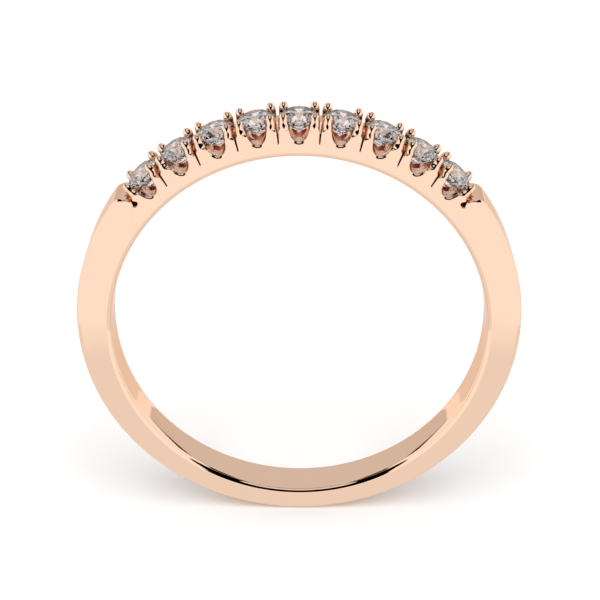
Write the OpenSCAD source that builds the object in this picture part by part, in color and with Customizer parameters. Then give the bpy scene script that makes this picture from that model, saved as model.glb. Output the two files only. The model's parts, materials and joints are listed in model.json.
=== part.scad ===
// Wedding band: a slim claw-set half-eternity ring with nine round brilliants.
// The origin is the centre of the finger bore. Y runs along the bore, Z points up through the middle
// stone and X runs across the finger. Lengths are in millimetres and angles in degrees.

/* [Band] */
// Inside diameter of the finger bore
bore_d = 17.2; // [14:0.1:22]
// Width of the band along the finger
band_w = 2.0; // [1.9:0.05:3]
// Thickness of the band at the foot
foot_t = 1.1; // [0.9:0.05:1.6]
// Thickness of the band's own outline at the crown, which the shoulders rise towards
crown_t = 2.0; // [1.7:0.05:2.4]
// Radius that rounds the two bore mouths
mouth_r = 0.22; // [0.05:0.01:0.3]
// Radius that rounds the two outer edges
edge_r = 0.2; // [0.05:0.01:0.3]

/* [Setting row] */
// Number of stones, an odd number
stones = 9; // [3:2:9]
// Angle between neighbouring seats, measured about the bore centre
pitch = 10.8; // [10.6:0.05:12]
// Height of the arch floors above the bore wall
floor_h = 0.7; // [0.45:0.01:0.75]
// Half width of each arch that opens under a stone
arch_half_w = 0.44; // [0.4:0.01:0.55]
// Height over which each arch narrows to its floor
arch_rise = 0.75; // [0.5:0.05:1]
// Height of the post tops above the bore wall
post_h = 1.45; // [1.3:0.01:1.5]
// Height of the foot of the cut between neighbouring seats
slot_h = 0.69; // [0.5:0.01:0.8]
// Angle between the feet of neighbouring cuts
slot_pitch = 11.05; // [10.6:0.05:12]
// Width of that cut at its foot
slot_foot_w = 0.05; // [0.03:0.01:0.08]
// Width of that cut at the claw tips
slot_top_w = 0.1; // [0.08:0.01:0.2]
// Thickness, along the bore, of the web that the cut leaves between two seats
web_w = 0.8; // [0.6:0.05:0.9]
// Diameter of the drilling under each stone
azure_d = 0.68; // [0.4:0.01:0.8]

/* [Claws] */
// Diameter of a claw where its tip begins
claw_d = 0.44; // [0.38:0.01:0.44]
// Diameter of a claw at its foot
claw_foot_d = 0.4; // [0.34:0.01:0.4]
// Length over which each claw rounds off to its tip
tip_len = 0.35; // [0.25:0.01:0.5]
// Distance of each claw from the middle of its seat, along the row
claw_x = 0.685; // [0.66:0.005:0.7]
// Distance of each claw from the middle of its seat, across the band
claw_y = 0.7; // [0.69:0.01:0.78]
// Height of the claw tips above the bore wall
claw_h = 1.93; // [1.9:0.01:2.1]
// Height above the bore wall at which the claws stand on the gallery
claw_foot_h = 1.15; // [1.05:0.01:1.3]
// Diameter of the peg that is soldered into the gallery
peg_d = 0.2; // [0.16:0.01:0.22]
// Length of that peg
peg_len = 0.3; // [0.2:0.01:0.35]

/* [Stones] */
// Diameter of each brilliant
stone_d = 1.75; // [1.6:0.01:1.76]
// Height of the tables above the bore wall
table_h = 1.82; // [1.75:0.01:1.9]
// Table width as a share of the diameter
table_share = 0.58; // [0.53:0.01:0.64]
// Slope of the crown mains
crown_angle = 34.5; // [32:0.5:36]
// Slope of the pavilion mains
pavilion_angle = 40.8; // [39:0.2:42]
// Girdle thickness as a share of the diameter
girdle_share = 0.03; // [0.02:0.005:0.05]
// Length of the star facets as a share of the crown
star_share = 0.5; // [0.4:0.05:0.6]
// Length of the lower halves as a share of the pavilion
lower_share = 0.77; // [0.7:0.01:0.82]

/* [Shoulders] */
// Angle from the top at which the notch beside the last seat is centred
notch_angle = 48.7; // [48.7:0.1:50]
// Diameter of the eye at the foot of that notch
notch_w = 0.22; // [0.15:0.01:0.22]
// Width of the slit that opens the eye to the outside
slit_w = 0.08; // [0.06:0.01:0.12]
// Height of the notch floor above the bore wall
notch_h = 0.92; // [0.85:0.01:1]
// Radius that rounds the shoulder down into that notch
nose_r = 0.6; // [0.1:0.05:0.6]

/* [Hidden] */
$fn = 96;
bore_r = bore_d / 2;
outer_r = (bore_d + foot_t + crown_t) / 2;
outer_z = (crown_t - foot_t) / 2;
last = (stones - 1) / 2;
claw_r = claw_d / 2;
stone_r = stone_d / 2;
tip_r = bore_r + claw_h;
table_r = bore_r + table_h;
post_r = bore_r + post_h;
floor_r = bore_r + floor_h;
claw_foot_r = bore_r + claw_foot_h;
notch_floor_r = bore_r + notch_h;
// Length by which a cutter runs past the face it cuts
past = 1;
// Clearance between a claw wire and the post behind it
rebate_gap = 0.01;
// Depth below the outer face at which the round of a shoulder's nose tops out
nose_ease = 0.01;
// Steps that draw the round of a claw tip
tip_steps = 8;
// Steps that draw the curved foot of an arch
arch_steps = 20;

// Brilliant, in stone radii, measured up from the top of the girdle
crown_z = (1 - table_share) * tan(crown_angle);
girdle_z = -2 * girdle_share;
culet_z = girdle_z - tan(pavilion_angle);
half_step = cos(22.5);
star_rad = table_share * half_step + star_share * (1 - table_share * half_step);
star_z = (1 - star_rad * half_step) * tan(crown_angle);
lower_rad = 1 - lower_share;
lower_z = girdle_z - (1 - lower_rad * half_step) * tan(pavilion_angle);
// Distance from the bore axis to the top of the girdle
girdle_r = table_r - crown_z * stone_r;

CLAW_NODES = [for (i = [1:stones]) str("claws_", i)];
STONE_NODES = [for (i = [1:stones]) str("diamond_", i)];

// Turns a shape drawn in X and Y, standing along Z, so that it stands along the bore
module along_bore() {
    rotate([90, 0, 0]) children();
}

// Places children on seat number i, counted from the left, with Z pointing out along its axis
module at_seat(i) {
    rotate([0, (i - 1 - last) * pitch, 0]) children();
}

// Half section of a disc of radius r whose two rims are rounded
module rounded_disc_section(r, w, e) {
    translate([0, -w / 2]) square([r - e, w]);
    translate([0, e - w / 2]) square([r, w - 2 * e]);
    for (side = [-1, 1]) {
        translate([r - e, side * (w / 2 - e)]) circle(e);
    }
}

// Section of one bore mouth, a square corner less a quarter round
module mouth_section() {
    difference() {
        translate([bore_r - mouth_r, band_w / 2 - mouth_r]) square([2 * mouth_r, mouth_r + past]);
        translate([bore_r + mouth_r, band_w / 2 - mouth_r]) circle(mouth_r);
        translate([bore_r + mouth_r, band_w / 2 - mouth_r]) square([past, mouth_r + 2 * past]);
    }
}

// The finger bore with its rounded mouths
module bore_cut() {
    along_bore() cylinder(r = bore_r, h = band_w + 2 * past, center = true);
    along_bore() rotate_extrude() mouth_section();
    mirror([0, 1, 0]) along_bore() rotate_extrude() mouth_section();
}

// The whole hoop, thick at the crown and thin at the foot
module hoop() {
    difference() {
        translate([0, 0, outer_z]) along_bore() rotate_extrude() rounded_disc_section(outer_r, band_w, edge_r);
        bore_cut();
    }
}

// Wedge that holds everything within the given angle of the top
module top_wedge(angle) {
    reach = 2 * outer_r;
    along_bore() linear_extrude(height = band_w + 2 * past, center = true)
        polygon([[0, 0], [reach * sin(-angle), reach * cos(angle)], [0, 3 * reach],
                 [reach * sin(angle), reach * cos(angle)]]);
}

// Keyhole notches beside the first and last seats, where the shoulders stop
module notch_cut() {
    for (side = [-1, 1]) {
        rotate([0, side * notch_angle, 0]) {
            translate([0, 0, notch_floor_r + notch_w / 2]) along_bore()
                cylinder(d = notch_w, h = band_w + 2 * past, center = true);
            translate([-slit_w / 2, -band_w / 2 - past, notch_floor_r + notch_w / 2])
                cube([slit_w, band_w + 2 * past, 2 * past]);
        }
    }
}

// Takes the corner off each shoulder beside its notch
module nose_cut() {
    across = slit_w / 2 + nose_r;
    for (side = [0, 1]) {
        mirror([side, 0, 0]) rotate([0, notch_angle, 0]) {
            centre = [across, outer_z * cos(notch_angle) + sqrt(pow(outer_r - nose_r - nose_ease, 2)
                      - pow(across + outer_z * sin(notch_angle), 2))];
            difference() {
                translate([0, -band_w / 2 - past, centre[1]]) cube([across, band_w + 2 * past, past]);
                translate([centre[0], 0, centre[1]]) along_bore()
                    cylinder(r = nose_r, h = band_w + 4 * past, center = true);
            }
        }
    }
}

module shank() {
    color("#EBC0A2")
    difference() {
        hoop();
        top_wedge(notch_angle);
        notch_cut();
        nose_cut();
    }
}

// Outline of the arch that opens under a stone
module arch_outline() {
    foot = [for (s = [0:arch_steps]) let (a = 180 + 180 * s / arch_steps)
        [arch_half_w * cos(a), floor_r + arch_rise * (1 + sin(a))]];
    polygon(concat(foot, [[arch_half_w, tip_r + past], [-arch_half_w, tip_r + past]]));
}

// Outline of the cut between two seats, from its foot up past the claw tips
module slot_outline(length) {
    foot = slot_foot_w / 2;
    top = slot_top_w / 2;
    polygon([[-foot, 0], [foot, 0], [top, length], [top, length + past], [-top, length + past], [-top, length]]);
}

// The cuts, one from each face, to the right of seat i. Their foot and head have their own angles
module slot_cut(i) {
    gap = i - 0.5 - last;
    foot_a = gap * slot_pitch;
    head_a = gap * pitch;
    foot_r = bore_r + slot_h;
    dx = tip_r * sin(head_a) - foot_r * sin(foot_a);
    dz = tip_r * cos(head_a) - foot_r * cos(foot_a);
    translate([foot_r * sin(foot_a), 0, foot_r * cos(foot_a)]) rotate([0, atan2(dx, dz), 0])
        for (side = [0, 1]) {
            mirror([0, side, 0]) translate([0, -web_w / 2, 0]) along_bore() linear_extrude(height = band_w)
                slot_outline(norm([dx, dz]));
        }
}

// Rebates along both edges of the row, on whose ledges the claws stand
module rebate_cut() {
    wall_y = claw_y - claw_r - rebate_gap;
    ledge_r = norm([claw_foot_r, claw_x - claw_r]);
    for (side = [0, 1]) {
        mirror([0, side, 0]) along_bore() rotate_extrude()
            translate([ledge_r, wall_y]) square([2 * past, band_w]);
    }
}

// Lathe form that just contains a stone, open above the girdle when it is a seat
module stone_envelope(seat) {
    rim = seat ? [[1, crown_z + 1], [0, crown_z + 1]]
               : [[1, 0], [star_rad, star_z], [table_share, crown_z], [0, crown_z]];
    translate([0, 0, girdle_r]) scale(stone_r)
        rotate_extrude() polygon(concat([[0, culet_z], [lower_rad, lower_z], [1, girdle_z]], rim));
}

// One claw: a soldered peg and a slightly flared wire with a long domed tip
module claw() {
    shoulder = tip_r - tip_len - claw_foot_r;
    translate([0, 0, claw_foot_r - peg_len]) cylinder(d = peg_d, h = peg_len);
    translate([0, 0, claw_foot_r]) {
        cylinder(r1 = claw_foot_d / 2, r2 = claw_r, h = shoulder);
        translate([0, 0, shoulder]) rotate_extrude()
            polygon([[0, 0], for (s = [0:tip_steps]) let (a = 90 * s / tip_steps) [claw_r * cos(a), tip_len * sin(a)]]);
    }
}

// Repeats children at the four claw places of a seat, each turned so that -Y faces out of the band
module at_claws() {
    for (sx = [-1, 1]) {
        for (flip = [0, 1]) {
            mirror([0, flip, 0]) translate([sx * claw_x, -claw_y, 0]) children();
        }
    }
}

module gallery() {
    color("#F0C6A8")
    difference() {
        intersection() {
            difference() {
                along_bore() cylinder(r = post_r, h = band_w, center = true);
                bore_cut();
            }
            top_wedge(notch_angle);
        }
        notch_cut();
        rebate_cut();
        for (i = [1:stones - 1]) {
            slot_cut(i);
        }
        for (i = [1:stones]) {
            at_seat(i) {
                along_bore() linear_extrude(height = band_w + 2 * past, center = true) arch_outline();
                translate([0, 0, bore_r - past]) cylinder(d = azure_d, h = floor_h + 2 * past);
                stone_envelope(true);
                at_claws() translate([0, 0, claw_foot_r - peg_len]) cylinder(d = peg_d, h = peg_len + past);
            }
        }
    }
}

// The four claws that hold one stone, each notched where the stone bears on it
module claws(i) {
    color("#F3CDB2")
    at_seat(i) difference() {
        at_claws() claw();
        stone_envelope(false);
    }
}

// Point at a given angle, distance from the axis and height
function ring_point(a, r, z) = [r * cos(a), r * sin(a), z];

// Round brilliant with its full set of facets
module diamond(i) {
    points = concat(
        [for (k = [0:7]) ring_point(45 * k, table_share, crown_z)],
        [for (k = [0:7]) ring_point(45 * k + 22.5, star_rad, star_z)],
        [for (k = [0:15]) ring_point(22.5 * k, 1, 0)],
        [for (k = [0:15]) ring_point(22.5 * k, 1, girdle_z)],
        [for (k = [0:7]) ring_point(45 * k + 22.5, lower_rad, lower_z)],
        [[0, 0, culet_z]]);
    star = 8;
    top = 16;
    low = 32;
    half = 48;
    culet = 56;
    faces = concat(
        [[for (k = [7:-1:0]) k]],
        [for (k = [0:7]) [k, (k + 1) % 8, star + k]],
        [for (k = [0:7]) [k, star + k, top + 2 * k, star + (k + 7) % 8]],
        [for (k = [0:7]) [star + k, top + (2 * k + 1), top + 2 * k]],
        [for (k = [0:7]) [star + k, top + (2 * k + 2) % 16, top + 2 * k + 1]],
        [for (k = [0:15]) [top + k, top + (k + 1) % 16, low + (k + 1) % 16, low + k]],
        [for (k = [0:7]) [half + k, low + 2 * k, low + 2 * k + 1]],
        [for (k = [0:7]) [half + k, low + 2 * k + 1, low + (2 * k + 2) % 16]],
        [for (k = [0:7]) [culet, half + (k + 7) % 8, low + 2 * k, half + k]]);
    color("#F4EFEF")
    at_seat(i) translate([0, 0, girdle_r]) scale(stone_r) polyhedron(points, faces);
}

shank();
gallery();
for (i = [1:stones]) {
    claws(i);
    diamond(i);
}
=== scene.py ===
import json
import math

import bmesh
import bpy
from mathutils import Matrix, Vector


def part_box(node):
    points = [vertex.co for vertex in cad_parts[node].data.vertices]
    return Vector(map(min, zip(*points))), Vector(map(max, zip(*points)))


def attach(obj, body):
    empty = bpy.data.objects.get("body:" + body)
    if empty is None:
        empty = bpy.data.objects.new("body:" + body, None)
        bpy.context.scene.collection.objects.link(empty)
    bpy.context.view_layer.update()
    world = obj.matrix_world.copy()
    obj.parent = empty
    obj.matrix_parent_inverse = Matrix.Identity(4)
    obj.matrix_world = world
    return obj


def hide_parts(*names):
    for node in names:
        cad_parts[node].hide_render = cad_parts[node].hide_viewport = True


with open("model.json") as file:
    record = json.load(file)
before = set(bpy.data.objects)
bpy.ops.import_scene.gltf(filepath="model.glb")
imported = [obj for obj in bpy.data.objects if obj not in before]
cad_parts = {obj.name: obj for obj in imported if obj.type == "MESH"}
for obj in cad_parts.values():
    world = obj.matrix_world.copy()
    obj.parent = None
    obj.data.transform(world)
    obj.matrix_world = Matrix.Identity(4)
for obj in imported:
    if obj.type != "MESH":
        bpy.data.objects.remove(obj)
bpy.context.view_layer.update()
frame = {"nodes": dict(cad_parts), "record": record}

# A slim claw-set half-eternity ring. Shapes are worked out in millimetres, in the row's frame: the
# origin is the centre of the bore, Y runs along it and Z points up through the middle stone. A "seat
# frame" has Z along one stone's axis and X (called t) along the row.
MM = 0.001

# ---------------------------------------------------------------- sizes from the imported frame
shank_lo, shank_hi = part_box("shank")
HALF_W = shank_hi.y / MM
OUTER_R = (shank_hi.x - shank_lo.x) / 2 / MM
OUTER_Z = shank_lo.z / MM + OUTER_R
BORE_R = frame["record"]["mounts"][0]["dims"]["r_mm"]
STONES = len([n for n in frame["nodes"] if n.startswith("diamond_")])
LAST = (STONES - 1) / 2
TIP_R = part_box("claws_5")[1].z / MM

# ---------------------------------------------------------------- sizes of the visible detail, mm
MOUTH_R = 0.22          # rounding of the bore mouths
EDGE_R = 0.2            # rounding of the outer edges
PITCH = 10.8            # degrees between seats
SLOT_PITCH = 11.05      # degrees between the feet of the slots
FLOOR_R = 9.31          # arch floors
ARCH_HALF_W = 0.445
ARCH_RISE = 0.74        # height over which an arch narrows to its floor
LEDGE_Z = 9.75          # the claws stand here
POST_R = 10.05          # tops of the walls between front and back claws
SLOT_FOOT_R = 9.29      # feet of the slots, the cuts that part the seats
SLOT_FOOT_W = 0.05
SLOT_TOP_W = 0.1
POST_ROUND = 0.05       # rounding of the post fronts
FOOT_ROUND = 0.12       # rounding round the feet of the arches
SLOT_ROUND = 0.03       # rounding round the feet of the slots
CORE_Y = 0.47           # half width of the walls behind the claws
WEB_Y = 0.4             # half width of the web that joins neighbouring seats
WEB_OVERLAP = 0.02      # how far a web reaches into the walls of its slot
WEB_ROOT = 0.1          # and below the foot of it
AZURE_R = 0.34          # drilling under each stone
AZURE_PAST = 0.5        # its cutter starts this far inside the bore
AZURE_HEAD = 0.35       # and ends this far above the arch floor
CLAW_X = 0.685
CLAW_Y = 0.715
CLAW_R = 0.22
CLAW_FOOT_H = 0.18      # height over which a claw turns round before it leans back
TIP_LEN = 0.35
PEG_R = 0.1
PEG_LEN = 0.3
SEAT_EASE = 0.004       # clearance round a stone
STONE_R = 0.875
TABLE_R = 10.42
TABLE_SHARE = 0.58
CROWN_ANGLE = math.radians(34.5)
PAVILION_ANGLE = math.radians(40.8)
GIRDLE_SHARE = 0.03
NOTCH_ANGLE = 48.7
NOTCH_EYE_R = 0.12      # the eye at the foot of a notch
NOTCH_FLOOR_R = 9.52
NOTCH_ROUND = 0.05
SLIT_HALF_W = 0.03      # half width of the notch beside the nose
NOSE_R = 0.6            # rounding of a shoulder's nose

# ---------------------------------------------------------------- fineness of the meshes
ROUND_STEPS = 10        # segments across a quarter round
ARC_STEP = 0.5          # degrees between sections of the hoop
ARCH_STEPS = 60
SLOT_WALL_STEPS = 14
SLOT_FOOT_STEPS = 8
EYE_STEPS = 12          # over a quarter of the eye
NOTCH_WALL_STEPS = 8
SEAT_WALL_STEPS = 6     # up a notch's wall to the ledge, and up the walls of an arch
NOSE_STEPS = 16
POST_WALL_STEPS = 3     # up the outer wall of a post
SHANK_LIP = 16          # sections of the bore below the overhang of a notch
GALLERY_LIP = 9
CLAW_SEGMENTS = 48
CLAW_STEPS = 18
CLAW_TIP_STEPS = 14
SEAT_SEGMENTS = 96
AZURE_SEGMENTS = 64
PEG_SEGMENTS = 24
CREASE = 32             # degrees above which an edge stays sharp

# ---------------------------------------------------------------- finishes and painted shade and sheen, as material indices
POLISHED = 0
PAINTED_SHADE = 1                # painted shade: near black metal on the walls of the notches and slots, where the shade falls
PAINTED_SHEEN = 2              # painted sheen: paler metal on the walls of the arches and posts
DRILLED_SHADE = 1             # the drillings, on the gallery's cutter: rougher metal, darker as painted shade

# ---------------------------------------------------------------- studio
# The light tent's edges, as elevations in degrees against azimuth from the front. It is dark between
# the top of the walls and the edge of the ceiling.
WALL_TOP = ((0, -18), (8, -12), (15, 0), (20, 8), (32, 20), (50, 28), (60, 32), (75, 37),
            (90, 44), (100, 48), (120, 42), (134, 36), (142, 25), (148, -5), (180, -5))
CEILING_EDGE = ((0, 36), (20, 38), (30, 43), (40, 50), (50, 57), (60, 62), (75, 66), (90, 67),
                (105, 65), (120, 58), (135, 48), (142, 38), (146, 20), (148, -5), (180, -5))
FLOOR_EDGE = ((0, -28.3), (100, -28.3), (140, -12), (180, -12))
LOWEST = 30             # the curves that hold them start this far below the horizon
SPAN = 120              # and cover this much
FLOOR_LIGHT = 0.90
WALL_LIGHT = 1.08
CEILING_LIGHT = 1.0
TOP_LIGHT = 0.55        # straight overhead
BACK_LIGHT = 0.705      # behind and beside the ring
TOP_AT = (56.0, 6.0)    # elevation and softness of the change to the light overhead
BACK_AT = (70.0, 16.0)  # azimuth and softness of the change to the light behind
EDGE_SOFT = 1.5
FLOOR_SOFT = 1.2
FLOOR_SIZE = 3.0        # half width, metres
FLOOR_GAP = 0.00002     # metres between the floor and the ring
SUN_ENERGY = 2.25
SUN_SPREAD = 70         # degrees
SUN_TILT = 32
CAMERA_ELEVATION = 27.2
CAMERA_AZIMUTH = 0.33
CAMERA_AIM = (0.037, 0, 1.127)
CAMERA_DISTANCE = 76.15
CAMERA_LENS = 99.29


# ---------------------------------------------------------------- plane geometry in X and Z
def axis(angle):
    a = math.radians(angle)
    return Vector((math.sin(a), math.cos(a)))


def across(angle):
    a = math.radians(angle)
    return Vector((math.cos(a), -math.sin(a)))


def spot(angle, t, z):
    """Point (x, z) at distance t along the row and z along the axis of the given angle."""
    return axis(angle) * z + across(angle) * t


def seat_angle(i):
    return (i - 1 - LAST) * PITCH


def spread(a, b, steps):
    return [a + (b - a) * k / steps for k in range(steps + 1)]


def blend(a, b, share):
    share = min(1.0, max(0.0, share))
    return a + (b - a) * share * share * (3 - 2 * share)


# ---------------------------------------------------------------- lofted band, in mm
class Band:
    """A closed band lofted across the finger from open chains of (point, rounding)."""

    def __init__(self):
        self.bm = bmesh.new()

    def column(self, point, normal, rounding, core=False):
        """Vertices across the band at one place of the outline."""
        if core:
            rows = [(0.0, -CORE_Y), (0.0, CORE_Y)]
        else:
            quarter = []
            for k in range(ROUND_STEPS + 1):
                f = math.pi / 2 * k / ROUND_STEPS
                quarter.append((rounding * (1 - math.sin(f)), HALF_W - rounding * (1 - math.cos(f))))
            rows = [(i, -y) for i, y in quarter]
            rows += [(0.0, -CORE_Y), (0.0, CORE_Y)]
            rows += [(i, y) for i, y in reversed(quarter)]
        made = []
        for inset, y in rows:
            p = point - normal * inset
            made.append(self.bm.verts.new((p.x, y, p.y)))
        return made

    def chain(self, points, core=False, steps=(), finish=POLISHED):
        """Lofts one chain, walked with the metal on the right. The walls of some steps get another
        material, for painted shade and painted sheen.

        A point that meets another piece may carry its own normal, so that the two stay flush.
        """
        columns = []
        for k, (p, rounding, *normal) in enumerate(points):
            ahead = points[min(k + 1, len(points) - 1)][0]
            behind = points[max(k - 1, 0)][0]
            d = (ahead - behind).normalized()
            out = normal[0] if normal else Vector((-d.y, d.x))
            columns.append(self.column(p, out, rounding, core))
        for k, (one, two) in enumerate(zip(columns, columns[1:])):
            for j in range(len(one) - 1):
                face = self.bm.faces.new((one[j], one[j + 1], two[j + 1], two[j]))
                if k in steps and (core or ROUND_STEPS <= j <= ROUND_STEPS + 2):
                    face.material_index = finish
        return columns

    def sides(self, over, under, start, lip, below):
        """Closes the front and back between the outer columns and the bore's, clockwise from start.

        The first and last columns, as many as lip says, overhang at a notch. Each of the two groups is
        joined to the first or last steps of the bore, as many as below says. A strip fills the rest.
        """
        def progress(column):
            v = column[0].co
            return (math.degrees(math.atan2(v.x, v.z)) - start + 1) % 360

        first = (over[:lip], under[:below + 1])
        last = (over[-lip:], under[-below - 1:])
        for end in (0, -1):
            for rim, bore in (first, last):
                face = self.bm.faces.new([c[end] for c in rim] + [c[end] for c in reversed(bore)])
                face.normal_update()
                bmesh.ops.triangulate(self.bm, faces=[face], ngon_method="EAR_CLIP")
            i, j = lip - 1, below
            last_i, last_j = len(over) - lip, len(under) - 1 - below
            while i < last_i or j < last_j:
                ahead = i < last_i and (j == last_j or progress(over[i + 1]) < progress(under[j + 1]))
                if ahead:
                    corners = (over[i][end], over[i + 1][end], under[j][end])
                    i += 1
                else:
                    corners = (over[i][end], under[j + 1][end], under[j][end])
                    j += 1
                self.bm.faces.new(corners)

    def cap(self, one, two):
        """Closes the band between the last column of one chain and the first of the next."""
        self.bm.faces.new(list(one) + list(reversed(two)))

    def finish(self):
        bmesh.ops.remove_doubles(self.bm, verts=self.bm.verts, dist=1e-5)
        bmesh.ops.recalc_face_normals(self.bm, faces=self.bm.faces)
        mesh = bpy.data.meshes.new("band")
        self.bm.to_mesh(mesh)
        self.bm.free()
        return mesh


def arch_half(z):
    """Half width of an arch at height z of its seat frame."""
    if z >= FLOOR_R + ARCH_RISE:
        return ARCH_HALF_W
    drop = (FLOOR_R + ARCH_RISE - z) / ARCH_RISE
    return ARCH_HALF_W * math.sqrt(max(0.0, 1 - drop * drop))


def arch_foot(angle):
    """Chain from the left ledge down round the foot of an arch and up to the right ledge."""
    top = math.asin((FLOOR_R + ARCH_RISE - LEDGE_Z) / ARCH_RISE)
    chain = []
    for s in spread(math.pi + top, 2 * math.pi - top, ARCH_STEPS):
        t = ARCH_HALF_W * math.cos(s)
        z = FLOOR_R + ARCH_RISE * (1 + math.sin(s))
        rounding = blend(FOOT_ROUND, POST_ROUND, (z - FLOOR_R) / (LEDGE_Z - FLOOR_R))
        chain.append((spot(angle, t, z), rounding))
    chain[0] += (across(angle),)
    chain[-1] += (-across(angle),)
    return chain


class Slot:
    """The cut between two neighbouring seats, as a line with a width."""

    def __init__(self, gap):
        self.foot = axis(gap * SLOT_PITCH) * SLOT_FOOT_R
        top = axis(gap * PITCH) * TIP_R
        self.length = (top - self.foot).length
        self.d = (top - self.foot) / self.length
        self.e = Vector((self.d.y, -self.d.x))

    def wall(self, side, s):
        half = (SLOT_FOOT_W + (SLOT_TOP_W - SLOT_FOOT_W) * s / self.length) / 2
        return self.foot + self.d * s + self.e * side * half

    def reach(self, side, angle, z):
        """Distance up one wall at which it crosses height z of a seat frame."""
        u = axis(angle)
        base = self.wall(side, 0).dot(u)
        slope = self.wall(side, 1).dot(u) - base
        return (z - base) / slope

    def foot_chain(self, left_angle, right_angle):
        left = self.reach(-1, left_angle, LEDGE_Z)
        right = self.reach(1, right_angle, LEDGE_Z)
        chain = []
        for s in spread(left, 0, SLOT_WALL_STEPS):
            chain.append((self.wall(-1, s), blend(SLOT_ROUND, POST_ROUND, s / left)))
        half = SLOT_FOOT_W / 2
        for f in spread(math.pi, 2 * math.pi, SLOT_FOOT_STEPS)[1:-1]:
            p = self.foot + self.e * half * math.cos(f) + self.d * half * math.sin(f)
            chain.append((p, SLOT_ROUND))
        for s in spread(0, right, SLOT_WALL_STEPS):
            chain.append((self.wall(1, s), blend(SLOT_ROUND, POST_ROUND, s / right)))
        chain[0] += (across(left_angle),)
        chain[-1] += (-across(right_angle),)
        return chain


class Notch:
    """The drop-shaped notch between the last seat and a shoulder. side is -1 left and 1 right."""

    def __init__(self, side):
        self.side = side
        self.angle = side * NOTCH_ANGLE
        self.low = NOTCH_FLOOR_R + NOTCH_EYE_R
        a = math.radians(NOTCH_ANGLE)
        self.hoop = Vector((-OUTER_Z * math.sin(a), OUTER_Z * math.cos(a)))
        self.nose_t = SLIT_HALF_W + NOSE_R
        self.nose_z = self.hoop.y + math.sqrt((OUTER_R - NOSE_R) ** 2 - (self.nose_t - self.hoop.x) ** 2)

    def half(self, z):
        """Half width of the notch at height z above its eye."""
        share = (z - self.low) / (self.nose_z - self.low)
        return NOTCH_EYE_R + (SLIT_HALF_W - NOTCH_EYE_R) * min(1.0, max(0.0, share))

    def place(self, t, z):
        return spot(self.angle, t * self.side, z)

    def wall(self, z):
        """Point on the wall beside the last seat."""
        return self.place(-self.half(z), z)

    def reach(self, seat, z):
        """Height in the notch's frame at which that wall crosses height z of a seat frame."""
        u = axis(seat)
        foot = self.wall(self.low).dot(u)
        head = self.wall(self.nose_z).dot(u)
        return self.low + (self.nose_z - self.low) * (z - foot) / (head - foot)

    def half_eye(self, sign):
        """From the bottom of the eye round to one wall."""
        made = []
        for f in spread(0, math.pi / 2, EYE_STEPS):
            t = sign * NOTCH_EYE_R * math.sin(f)
            made.append((self.place(t, self.low - NOTCH_EYE_R * math.cos(f)), NOTCH_ROUND))
        made[0] += (axis(self.angle),)
        return made

    def gallery_chain(self, seat):
        """From the bottom of the eye up to the ledge of the last seat."""
        chain = self.half_eye(-1)
        for z in spread(self.low, self.reach(seat, LEDGE_Z), SEAT_WALL_STEPS)[1:]:
            chain.append((self.wall(z), NOTCH_ROUND))
        chain[-1] += (across(seat) * self.side,)
        return chain

    def shoulder_chain(self):
        """From the bottom of the eye up the shoulder's wall and over its nose to the outer face."""
        chain = self.half_eye(1)
        for z in spread(self.low, self.nose_z, NOTCH_WALL_STEPS)[1:]:
            chain.append((self.place(self.half(z), z), NOTCH_ROUND))
        top = math.atan2(self.nose_z - self.hoop.y, self.nose_t - self.hoop.x)
        for f in spread(math.pi, top, NOSE_STEPS)[1:]:
            rounding = blend(NOTCH_ROUND, EDGE_R, (math.pi - f) / (math.pi - top))
            t = self.nose_t + NOSE_R * math.cos(f)
            chain.append((self.place(t, self.nose_z + NOSE_R * math.sin(f)), rounding))
        return chain


def bore_chain(start, end):
    steps = round(abs(end - start) / ARC_STEP)
    return [(axis(a) * BORE_R, MOUTH_R, -axis(a)) for a in spread(start, end, steps)]


def outer_point(angle):
    """Point of the hoop's outer face, at an angle about that face's own centre."""
    return Vector((0, OUTER_Z)) + axis(angle) * OUTER_R


def shank_mesh():
    band = Band()
    left = Notch(-1).shoulder_chain()
    right = Notch(1).shoulder_chain()
    end = right[-1][0] - Vector((0, OUTER_Z))
    start = math.degrees(math.atan2(end.x, end.y))
    sweep = 360 - 2 * start
    steps = round(sweep / ARC_STEP)
    outer = [(outer_point(start + sweep * k / steps), EDGE_R) for k in range(1, steps)]
    outline = right + outer + list(reversed(left))
    lip = EYE_STEPS + 1 + NOTCH_WALL_STEPS
    # The eye and walls of each notch get the near black metal, painted shade.
    dark = lip - 2
    dark_steps = {*range(dark), *range(len(outline) - dark, len(outline))}
    over = band.chain(outline, False, dark_steps, PAINTED_SHADE)
    inner = band.chain(bore_chain(360 - NOTCH_ANGLE, NOTCH_ANGLE))
    band.sides(over, list(reversed(inner)), NOTCH_ANGLE, lip, SHANK_LIP)
    band.cap(over[-1], inner[0])
    band.cap(inner[-1], over[0])
    return band.finish()


def post_chain(angle, side, outer_wall):
    """Outline of one post above its ledge: a wall of the arch, the post top and the outer wall."""
    inner = []
    for z in spread(LEDGE_Z, math.sqrt(POST_R ** 2 - ARCH_HALF_W ** 2), SEAT_WALL_STEPS):
        inner.append((spot(angle, side * arch_half(z), z), 0.0))
    outer = [(p, 0.0) for p in outer_wall]
    if side < 0:
        return outer + list(reversed(inner))
    return inner + list(reversed(outer))


def end_wall(i, side, z):
    """Place along the row, at height z of seat i, of the wall that closes its post on one side."""
    angle = seat_angle(i)
    if (i == 1 and side < 0) or (i == STONES and side > 0):
        notch = Notch(side)
        point = notch.wall(notch.reach(angle, z))
    else:
        slot = Slot(i + side * 0.5 - 1 - LAST)
        point = slot.wall(-side, slot.reach(-side, angle, z))
    return point.dot(across(angle))


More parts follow.
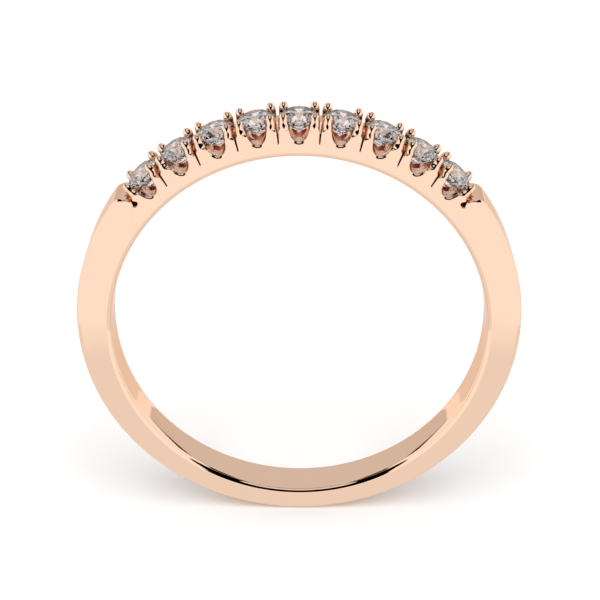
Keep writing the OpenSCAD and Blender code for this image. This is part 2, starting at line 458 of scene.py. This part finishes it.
def web(bm, slot):
    """Block that fills the middle of a slot, so that the slot is only cut in from the two faces."""
    high = POST_R - SLOT_FOOT_R
    corners = []
    for y in (-WEB_Y, WEB_Y):
        for s, side in ((-WEB_ROOT, -1), (-WEB_ROOT, 1), (high, 1), (high, -1)):
            p = slot.foot + slot.d * s + slot.e * side * (SLOT_TOP_W / 2 + WEB_OVERLAP)
            corners.append(bm.verts.new((p.x, y, p.y)))
    for four in ((0, 1, 2, 3), (7, 6, 5, 4), (0, 4, 5, 1), (1, 5, 6, 2), (2, 6, 7, 3), (3, 7, 4, 0)):
        bm.faces.new([corners[k] for k in four])


def gallery_mesh():
    band = Band()
    slots = [None] + [Slot(i - 0.5 - LAST) for i in range(1, STONES)]
    notch_l, notch_r = Notch(-1), Notch(1)
    feet = [notch_l.gallery_chain(seat_angle(1))]
    posts = []
    for i in range(1, STONES + 1):
        angle = seat_angle(i)
        if i == 1:
            low = notch_l.reach(angle, LEDGE_Z)
            walls = [notch_l.wall(z) for z in spread(low, POST_R, POST_WALL_STEPS)]
        else:
            low = slots[i - 1].reach(1, angle, LEDGE_Z)
            high = slots[i - 1].reach(1, angle, POST_R * math.cos(math.radians(PITCH / 2)))
            walls = [slots[i - 1].wall(1, s) for s in spread(low, high, POST_WALL_STEPS)]
        posts.append(post_chain(angle, -1, walls))
        feet.append(arch_foot(angle))
        if i == STONES:
            low = notch_r.reach(angle, LEDGE_Z)
            walls = [notch_r.wall(z) for z in spread(low, POST_R, POST_WALL_STEPS)]
        else:
            low = slots[i].reach(-1, angle, LEDGE_Z)
            high = slots[i].reach(-1, angle, POST_R * math.cos(math.radians(PITCH / 2)))
            walls = [slots[i].wall(-1, s) for s in spread(low, high, POST_WALL_STEPS)]
        posts.append(post_chain(angle, 1, walls))
        if i < STONES:
            feet.append(slots[i].foot_chain(angle, seat_angle(i + 1)))
    feet.append(list(reversed(notch_r.gallery_chain(seat_angle(STONES)))))
    # Arch walls get the paler metal, painted sheen; the walls of the slots and notches the near black
    # metal, painted shade.
    feet = [band.chain(f, False, range(len(f)), PAINTED_SHEEN if k % 2 else PAINTED_SHADE) for k, f in enumerate(feet)]
    inner_core = ROUND_STEPS + 1
    # The end posts beside the notches get painted shade on their outer walls; the other posts get painted
    # sheen.
    for k, post in enumerate(posts):
        if k == 0:
            columns = band.chain(post, True, range(POST_WALL_STEPS), PAINTED_SHADE)
        elif k == 2 * STONES - 1:
            columns = band.chain(post, True, range(len(post) - POST_WALL_STEPS - 1, len(post)), PAINTED_SHADE)
        else:
            columns = band.chain(post, True, range(len(post)), PAINTED_SHEEN)
        for end in (0, 1):
            band.bm.faces.new([c[end] for c in columns] if end else [c[end] for c in reversed(columns)])
        one, two = feet[k][-1], feet[k + 1][0]
        front = list(reversed(one[:inner_core])) + list(two[:inner_core])
        band.bm.faces.new([columns[0][0]] + front + [columns[-1][0]])
        back = list(one[inner_core + 1:]) + list(reversed(two[inner_core + 1:]))
        band.bm.faces.new([columns[0][1]] + back[1:-1] + [columns[-1][1]])
    inner = band.chain(bore_chain(NOTCH_ANGLE, -NOTCH_ANGLE))
    band.sides([c for f in feet for c in f], list(reversed(inner)), -NOTCH_ANGLE, len(feet[0]), GALLERY_LIP)
    band.cap(feet[-1][-1], inner[0])
    band.cap(inner[-1], feet[0][0])
    for slot in slots[1:]:
        web(band.bm, slot)
    return band.finish()


# ---------------------------------------------------------------- lathe forms, in a seat frame
def lathe(bm, profile, segments, place=Matrix.Identity(4), finish=0):
    """Turns a profile of (radius, height), from foot to tip, about Z. Both ends lie on the axis."""
    rings = []
    for r, z in profile:
        if r < 1e-9:
            rings.append([bm.verts.new(place @ Vector((0, 0, z)))])
            continue
        ring = []
        for k in range(segments):
            a = 2 * math.pi * k / segments
            ring.append(bm.verts.new(place @ Vector((r * math.cos(a), r * math.sin(a), z))))
        rings.append(ring)
    for low, high in zip(rings, rings[1:]):
        for k in range(segments):
            n = (k + 1) % segments
            if len(low) == 1:
                corners = (low[0], high[n], high[k])
            elif len(high) == 1:
                corners = (low[k], low[n], high[0])
            else:
                corners = (low[k], low[n], high[n], high[k])
            bm.faces.new(corners).material_index = finish


def seat_place(angle):
    return Matrix.Rotation(math.radians(angle), 4, "Y")


def stone_profile(open_top):
    """Lathe profile that holds a stone with some clearance, and everything above it if open_top."""
    ease = SEAT_EASE
    crown = (1 - TABLE_SHARE) * math.tan(CROWN_ANGLE)
    girdle = TABLE_R - crown * STONE_R
    under = girdle - 2 * GIRDLE_SHARE * STONE_R
    culet = under - math.tan(PAVILION_ANGLE) * STONE_R
    r = STONE_R + ease
    if open_top:
        past = girdle + 2 * STONE_R
        rim = [(r, past), (0, past)]
    else:
        rim = [(r, girdle + ease), (TABLE_SHARE * STONE_R + ease, TABLE_R + ease), (0, TABLE_R + ease)]
    return [(0, culet - ease), (r, under - ease)] + rim


def ring(centre, half, corner, z, segments):
    """Rounded rectangle at height z, as points that all lie on its corners."""
    made = []
    for k in range(segments):
        f = 2 * math.pi * (k + 0.5) / segments
        x = math.copysign(half[0] - corner, math.cos(f)) + corner * math.cos(f)
        y = math.copysign(half[1] - corner, math.sin(f)) + corner * math.sin(f)
        made.append(Vector((centre[0] + x, centre[1] + y, z)))
    return made


def claw_rings(sx, sy, post, segments):
    """Sections of one claw, from the peg up. post holds the near and far wall of the post below it."""
    round_at = (sx * CLAW_X, sy * CLAW_Y)
    foot_at = ((post[0] + post[1]) / 2, sy * (CORE_Y + HALF_W) / 2)
    foot_half = (abs(post[1] - post[0]) / 2, (HALF_W - CORE_Y) / 2)
    rings = [ring(round_at, (PEG_R, PEG_R), PEG_R, z, segments) for z in (LEDGE_Z - PEG_LEN, LEDGE_Z)]
    shoulder = TIP_R - TIP_LEN
    for z in spread(LEDGE_Z, shoulder, CLAW_STEPS):
        lean = (z - LEDGE_Z - CLAW_FOOT_H) / (shoulder - LEDGE_Z - CLAW_FOOT_H)
        centre = [blend(a, b, lean) for a, b in zip(foot_at, round_at)]
        half = [blend(a, CLAW_R, lean) for a in foot_half]
        corner = blend(POST_ROUND, min(half), (z - LEDGE_Z) / CLAW_FOOT_H)
        rings.append(ring(centre, half, corner, z, segments))
    for f in spread(0, math.pi / 2, CLAW_TIP_STEPS)[1:-1]:
        r = CLAW_R * math.cos(f)
        rings.append(ring(round_at, (r, r), r, shoulder + TIP_LEN * math.sin(f), segments))
    return rings, Vector((*round_at, TIP_R))


def loft(bm, rings, tip):
    """Closed skin over a stack of rings, flat below and closed to one point above."""
    made = [[bm.verts.new(p) for p in one] for one in rings]
    count = len(rings[0])
    top = bm.verts.new(tip)
    bm.faces.new(list(reversed(made[0])))
    for low, high in zip(made, made[1:]):
        for k in range(count):
            n = (k + 1) % count
            bm.faces.new((low[k], low[n], high[n], high[k]))
    for k in range(count):
        bm.faces.new((made[-1][k], made[-1][(k + 1) % count], top))


def new_object(name, mesh):
    obj = bpy.data.objects.new(name, mesh)
    bpy.context.scene.collection.objects.link(obj)
    return obj


def from_bmesh(name, bm):
    bmesh.ops.recalc_face_normals(bm, faces=bm.faces)
    mesh = bpy.data.meshes.new(name)
    bm.to_mesh(mesh)
    bm.free()
    return new_object(name, mesh)


def cut(obj, cutter, *finishes):
    """Takes cutter away from obj, and removes cutter. The faces it leaves keep its materials, in the
    gallery painted sheen and painted shade.
    """
    for mat in finishes:
        cutter.data.materials.append(mat)
    mod = obj.modifiers.new("cut", "BOOLEAN")
    mod.operation = "DIFFERENCE"
    mod.solver = "EXACT"
    mod.use_self = True
    mod.material_mode = "TRANSFER"
    mod.object = cutter
    dg = bpy.context.evaluated_depsgraph_get()
    mesh = bpy.data.meshes.new_from_object(obj.evaluated_get(dg))
    mesh.validate()
    obj.modifiers.clear()
    old = obj.data
    obj.data = mesh
    bpy.data.meshes.remove(old)
    bpy.data.objects.remove(cutter)


def to_metres(obj):
    obj.data.transform(Matrix.Scale(MM, 4))


def polish(obj):
    """Smooth shading with crisp edges. The flat front and back keep their own normals up to the rounds."""
    mesh = obj.data
    for p in mesh.polygons:
        p.use_smooth = True
    mesh.set_sharp_from_angle(angle=math.radians(CREASE))
    flat = {}
    for p in mesh.polygons:
        if abs(p.normal.y) > 0.9999 and abs(p.center.y) > 0.99 * HALF_W * MM:
            for v in p.vertices:
                flat[v] = math.copysign(1, p.normal.y)
    normals = [Vector(n.vector) for n in mesh.corner_normals]
    for p in mesh.polygons:
        level = all(v in flat for v in p.vertices)
        for k in p.loop_indices:
            facing = flat.get(mesh.loops[k].vertex_index)
            if facing and (level or p.normal.y * facing > 0.5):
                normals[k] = Vector((0, facing, 0))
    mesh.normals_split_custom_set(normals)


# ---------------------------------------------------------------- node helpers
def node(tree, kind, **values):
    made = tree.nodes.new(kind)
    for name, value in values.items():
        if name in made.inputs:
            made.inputs[name].default_value = value
        else:
            setattr(made, name, value)
    return made


def math_node(tree, operation, a, b=None, clamp=False):
    made = tree.nodes.new("ShaderNodeMath")
    made.operation = operation
    made.use_clamp = clamp
    for k, v in enumerate((a, b)):
        if v is None:
            continue
        if isinstance(v, (int, float)):
            made.inputs[k].default_value = v
        else:
            tree.links.new(v, made.inputs[k])
    return made.outputs[0]


# ---------------------------------------------------------------- materials
def rose_gold(name, seed, colour=(0.955, 0.674, 0.503), rough_range=(0.015, 0.06)):
    """Rose gold: a faint colour drift, uneven polish and fine buffing marks."""
    mat = bpy.data.materials.new(name)
    mat.use_nodes = True
    tree = mat.node_tree
    bsdf = tree.nodes["Principled BSDF"]
    bsdf.inputs["Metallic"].default_value = 1.0
    bsdf.inputs["Specular Tint"].default_value = (0.94, 0.74, 0.6, 1)
    place = node(tree, "ShaderNodeTexCoord")
    drift = node(tree, "ShaderNodeTexNoise", Scale=900.0, Detail=2.0)
    drift.noise_dimensions = "4D"
    drift.inputs["W"].default_value = seed
    tree.links.new(place.outputs["Object"], drift.inputs["Vector"])
    tint = node(tree, "ShaderNodeMix")
    tint.data_type = "RGBA"
    tint.inputs["A"].default_value = (*colour, 1)
    tint.inputs["B"].default_value = (*[0.985 * c for c in colour], 1)
    tree.links.new(drift.outputs["Fac"], tint.inputs["Factor"])
    tree.links.new(tint.outputs["Result"], bsdf.inputs["Base Color"])
    haze = node(tree, "ShaderNodeTexNoise", Scale=2600.0, Detail=4.0)
    tree.links.new(place.outputs["Object"], haze.inputs["Vector"])
    rough = node(tree, "ShaderNodeMapRange")
    rough.inputs["To Min"].default_value = rough_range[0]
    rough.inputs["To Max"].default_value = rough_range[1]
    tree.links.new(haze.outputs["Fac"], rough.inputs["Value"])
    tree.links.new(rough.outputs["Result"], bsdf.inputs["Roughness"])
    stretch = node(tree, "ShaderNodeMapping")
    stretch.inputs["Scale"].default_value = (1.0, 0.12, 1.0)
    tree.links.new(place.outputs["Object"], stretch.inputs["Vector"])
    marks = node(tree, "ShaderNodeTexNoise", Scale=60000.0, Detail=3.0)
    tree.links.new(stretch.outputs["Vector"], marks.inputs["Vector"])
    bump = node(tree, "ShaderNodeBump", Strength=0.02, Distance=0.000002)
    tree.links.new(marks.outputs["Fac"], bump.inputs["Height"])
    tree.links.new(bump.outputs["Normal"], bsdf.inputs["Normal"])
    return mat


def diamond_material():
    """Near colourless diamond with a trace of warm body colour and facet-by-facet polish."""
    mat = bpy.data.materials.new("diamond_clear")
    mat.use_nodes = True
    tree = mat.node_tree
    bsdf = tree.nodes["Principled BSDF"]
    bsdf.inputs["IOR"].default_value = 2.417
    bsdf.inputs["Transmission Weight"].default_value = 1.0
    place = node(tree, "ShaderNodeTexCoord")
    cloud = node(tree, "ShaderNodeTexNoise", Scale=1400.0, Detail=2.0)
    tree.links.new(place.outputs["Object"], cloud.inputs["Vector"])
    tint = node(tree, "ShaderNodeMix")
    tint.data_type = "RGBA"
    tint.inputs["A"].default_value = (0.99, 0.95, 0.945, 1)
    tint.inputs["B"].default_value = (0.94, 0.895, 0.9, 1)
    tree.links.new(cloud.outputs["Fac"], tint.inputs["Factor"])
    tree.links.new(tint.outputs["Result"], bsdf.inputs["Base Color"])
    rough = node(tree, "ShaderNodeMapRange")
    rough.inputs["To Min"].default_value = 0.0
    rough.inputs["To Max"].default_value = 0.08
    tree.links.new(cloud.outputs["Fac"], rough.inputs["Value"])
    tree.links.new(rough.outputs["Result"], bsdf.inputs["Roughness"])
    return mat


# ---------------------------------------------------------------- pieces
def make_shank(mat, dark):
    obj = new_object("rose_gold_shank_band", shank_mesh())
    to_metres(obj)
    obj.data.materials.append(mat)
    obj.data.materials.append(dark)
    polish(obj)
    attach(obj, "root")
    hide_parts("shank")


def make_gallery(mat, dark, bright, drilled):
    obj = new_object("rose_gold_gallery_row", gallery_mesh())
    for finish in (mat, dark, bright):
        obj.data.materials.append(finish)
    bm = bmesh.new()
    low, high = BORE_R - AZURE_PAST, FLOOR_R + AZURE_HEAD
    peg_foot, peg_top = LEDGE_Z - PEG_LEN, LEDGE_Z + PEG_R
    for i in range(1, STONES + 1):
        place = seat_place(seat_angle(i))
        lathe(bm, stone_profile(True), SEAT_SEGMENTS, place)
        drilling = [(0, low), (AZURE_R, low), (AZURE_R, high), (0, high)]
        lathe(bm, drilling, AZURE_SEGMENTS, place, DRILLED_SHADE)
        for sx in (-1, 1):
            for sy in (-1, 1):
                hole = place @ Matrix.Translation((sx * CLAW_X, sy * CLAW_Y, 0))
                peg = [(0, peg_foot), (PEG_R, peg_foot), (PEG_R, peg_top), (0, peg_top)]
                lathe(bm, peg, PEG_SEGMENTS, hole)
    # The stone seats and peg holes get the paler metal, painted sheen; the drillings get the darker one,
    # partly painted shade.
    cut(obj, from_bmesh("cutter", bm), bright, drilled)
    to_metres(obj)
    polish(obj)
    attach(obj, "root")
    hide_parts("gallery")


def make_claws(mat):
    for i in range(1, STONES + 1):
        bm = bmesh.new()
        for sx in (-1, 1):
            post = (sx * arch_half(LEDGE_Z), end_wall(i, sx, LEDGE_Z))
            for sy in (-1, 1):
                rings, tip = claw_rings(sx, sy, post, CLAW_SEGMENTS)
                loft(bm, rings, tip)
        obj = from_bmesh(f"claws_seat_{i}", bm)
        cutter = bmesh.new()
        lathe(cutter, stone_profile(False), SEAT_SEGMENTS)
        obj.data.materials.append(mat)
        cut(obj, from_bmesh("cutter", cutter), mat)
        obj.data.transform(seat_place(seat_angle(i)))
        to_metres(obj)
        polish(obj)
        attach(obj, "root")
        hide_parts(f"claws_{i}")


def dress_stones(mat):
    for i in range(1, STONES + 1):
        obj = frame["nodes"][f"diamond_{i}"]
        obj.data.materials.clear()
        obj.data.materials.append(mat)


# ---------------------------------------------------------------- studio
def curve(tree, value, points):
    """Float curve over 0 to 1, straight between the given points."""
    made = node(tree, "ShaderNodeFloatCurve")
    held = made.mapping.curves[0]
    held.points[0].location = points[0]
    held.points[1].location = points[-1]
    for p in points[1:-1]:
        held.points.new(*p)
    for p in held.points:
        p.handle_type = "VECTOR"
    made.mapping.update()
    tree.links.new(value, made.inputs["Value"])
    return made.outputs[0]


def mix_value(tree, a, b, share):
    """a where share is 0 and b where share is 1, all numbers or sockets."""
    keep = math_node(tree, "SUBTRACT", 1.0, share)
    first = math_node(tree, "MULTIPLY", a, keep)
    second = math_node(tree, "MULTIPLY", b, share)
    return math_node(tree, "ADD", first, second)


def above(tree, value, edge, soft):
    """0 below edge and 1 above it, over the given softness."""
    gap = math_node(tree, "SUBTRACT", value, edge)
    return math_node(tree, "ADD", math_node(tree, "DIVIDE", gap, soft), 0.5, clamp=True)


def studio_world():
    """A light tent: bright low walls and floor, a ceiling panel, and dark gaps between them."""
    world = bpy.data.worlds.new("studio")
    bpy.context.scene.world = world
    world.use_nodes = True
    tree = world.node_tree
    place = node(tree, "ShaderNodeTexCoord")
    parts = node(tree, "ShaderNodeSeparateXYZ")
    tree.links.new(place.outputs["Generated"], parts.inputs["Vector"])
    x, y, z = parts.outputs
    to_deg = 180 / math.pi
    el = math_node(tree, "MULTIPLY", math_node(tree, "ARCSINE", z), to_deg)
    front = math_node(tree, "MULTIPLY", y, -1.0)
    turn = math_node(tree, "ARCTAN2", math_node(tree, "ABSOLUTE", x), front)
    az = math_node(tree, "MULTIPLY", turn, to_deg)
    share = math_node(tree, "DIVIDE", az, 180.0)

    def level(points):
        """Elevation of one of the tent's edges at the azimuth looked at."""
        part = curve(tree, share, [(a / 180, (e + LOWEST) / SPAN) for a, e in points])
        return math_node(tree, "SUBTRACT", math_node(tree, "MULTIPLY", part, SPAN), LOWEST)

    def past(edge):
        """0 below an edge and 1 above it."""
        return above(tree, math_node(tree, "SUBTRACT", el, edge), 0.0, EDGE_SOFT)

    wall_top = level(WALL_TOP)
    ceiling_edge = level(CEILING_EDGE)
    floor_edge = level(FLOOR_EDGE)
    low = mix_value(tree, FLOOR_LIGHT, WALL_LIGHT, above(tree, el, floor_edge, FLOOR_SOFT))
    ceiling = mix_value(tree, CEILING_LIGHT, TOP_LIGHT, above(tree, el, *TOP_AT))
    high = mix_value(tree, ceiling, BACK_LIGHT, above(tree, az, *BACK_AT))
    upper = mix_value(tree, 0.0, high, past(ceiling_edge))
    light = mix_value(tree, low, upper, past(wall_top))
    background = tree.nodes["Background"]
    tree.links.new(light, background.inputs["Strength"])
    background.inputs["Color"].default_value = (1, 1, 1, 1)


def studio_floor():
    bm = bmesh.new()
    size = FLOOR_SIZE
    level = shank_lo.z - FLOOR_GAP
    corners = [(-size, -size, level), (size, -size, level), (size, size, level), (-size, size, level)]
    bm.faces.new([bm.verts.new(c) for c in corners])
    obj = from_bmesh("floor", bm)
    mat = bpy.data.materials.new("floor_white")
    mat.use_nodes = True
    bsdf = mat.node_tree.nodes["Principled BSDF"]
    bsdf.inputs["Base Color"].default_value = (0.93, 0.93, 0.93, 1)
    bsdf.inputs["Roughness"].default_value = 0.12
    bsdf.inputs["Specular IOR Level"].default_value = 0.25
    obj.data.materials.append(mat)
    obj.visible_glossy = False
    sun = bpy.data.lights.new("fill", "SUN")
    sun.energy = SUN_ENERGY
    sun.angle = math.radians(SUN_SPREAD)
    lamp = new_object("fill", sun)
    lamp.rotation_euler = (math.radians(SUN_TILT), 0, 0)
    lamp.visible_glossy = False
    lamp.visible_transmission = False


def studio_camera():
    cam = bpy.data.cameras.new("camera")
    obj = new_object("camera", cam)
    elevation = math.radians(CAMERA_ELEVATION)
    azimuth = math.radians(CAMERA_AZIMUTH)
    back = Vector((math.sin(azimuth) * math.cos(elevation), -math.cos(azimuth) * math.cos(elevation),
                   math.sin(elevation)))
    obj.location = (Vector(CAMERA_AIM) + back * CAMERA_DISTANCE) * MM
    obj.rotation_mode = "QUATERNION"
    obj.rotation_quaternion = (-back).to_track_quat("-Z", "Y")
    cam.sensor_width = 36
    cam.lens = CAMERA_LENS
    cam.clip_start = 0.005
    cam.clip_end = 20
    bpy.context.scene.camera = obj


# Near black copy of the rose gold: painted shade in the notches and slots.
recess = rose_gold("rose_gold_painted_shade", 4.0, (0.2, 0.1, 0.07), (0.2, 0.4))
# Paler copy of the rose gold: painted sheen on the walls of the arches and posts and in the stone seats.
bright = rose_gold("rose_gold_painted_sheen", 6.0, (0.985, 0.79, 0.66), (0.02, 0.08))
# Rougher, darker copy for the drillings: the roughness is the drilled finish, the darkness painted shade.
drilled = rose_gold("rose_gold_drilled_shade", 5.0, (0.8, 0.52, 0.42), (0.12, 0.3))
make_shank(rose_gold("rose_gold_shank_polish", 1.0), recess)
make_gallery(rose_gold("rose_gold_gallery_polish", 2.0), recess, bright, drilled)
make_claws(rose_gold("rose_gold_claw_polish", 3.0))
dress_stones(diamond_material())
studio_world()
studio_floor()
studio_camera()
bpy.context.scene.view_settings.view_transform = "Standard"
